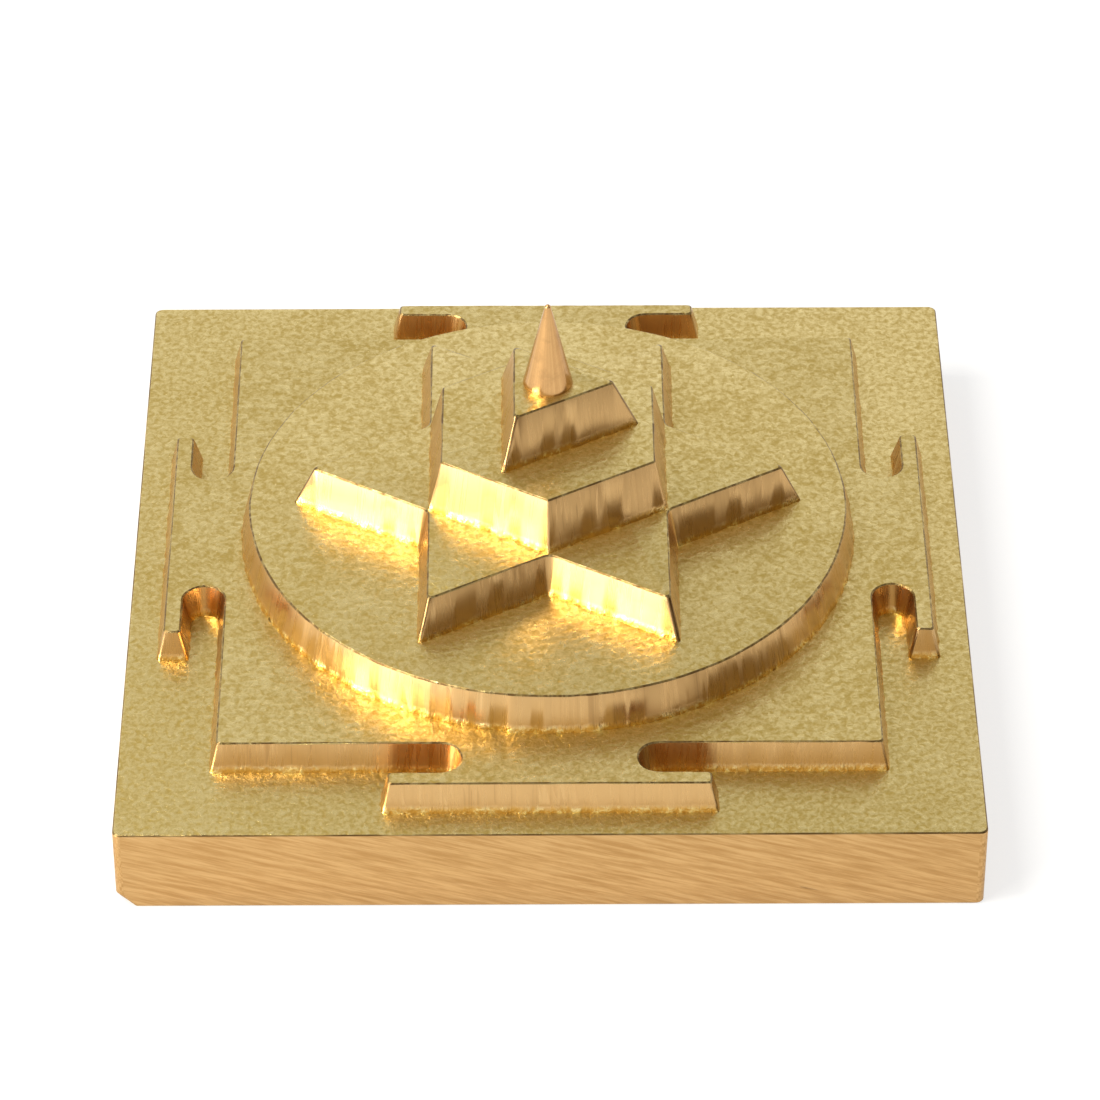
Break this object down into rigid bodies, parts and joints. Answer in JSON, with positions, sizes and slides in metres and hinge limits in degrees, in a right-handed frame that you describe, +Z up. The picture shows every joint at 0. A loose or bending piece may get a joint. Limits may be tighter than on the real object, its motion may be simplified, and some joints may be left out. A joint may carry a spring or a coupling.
{
  "type": "kuber yantra",
  "caption": "Free-standing brass yantra relief: a square slab under a gated square, a disc, a star, a hexagon and a triangle, topped by a small spike.",
  "frame": {"origin": "middle of the slab's flat underside, on the surface that the object stands on", "axes": "+Z up through the spike, +X towards the tip of the triangle, -Y towards the side that faces the viewer"},
  "size_m": [0.076, 0.076, 0.0372],
  "materials": {
    "linished_brass": "linished sides with a fine slanted grain",
    "milled_brass": "milled, with a fine mottled cutter texture",
    "turned_brass": "smooth, with bright highlights"
  },
  "bodies": {
    "root": {"base_slab": "linished_brass", "gated_square": "milled_brass", "round_disc": "milled_brass", "six_point_star": "milled_brass", "hexagon_block": "milled_brass", "triangle_block": "milled_brass", "bindu_cone": "turned_brass"}
  },
  "joints": []
}
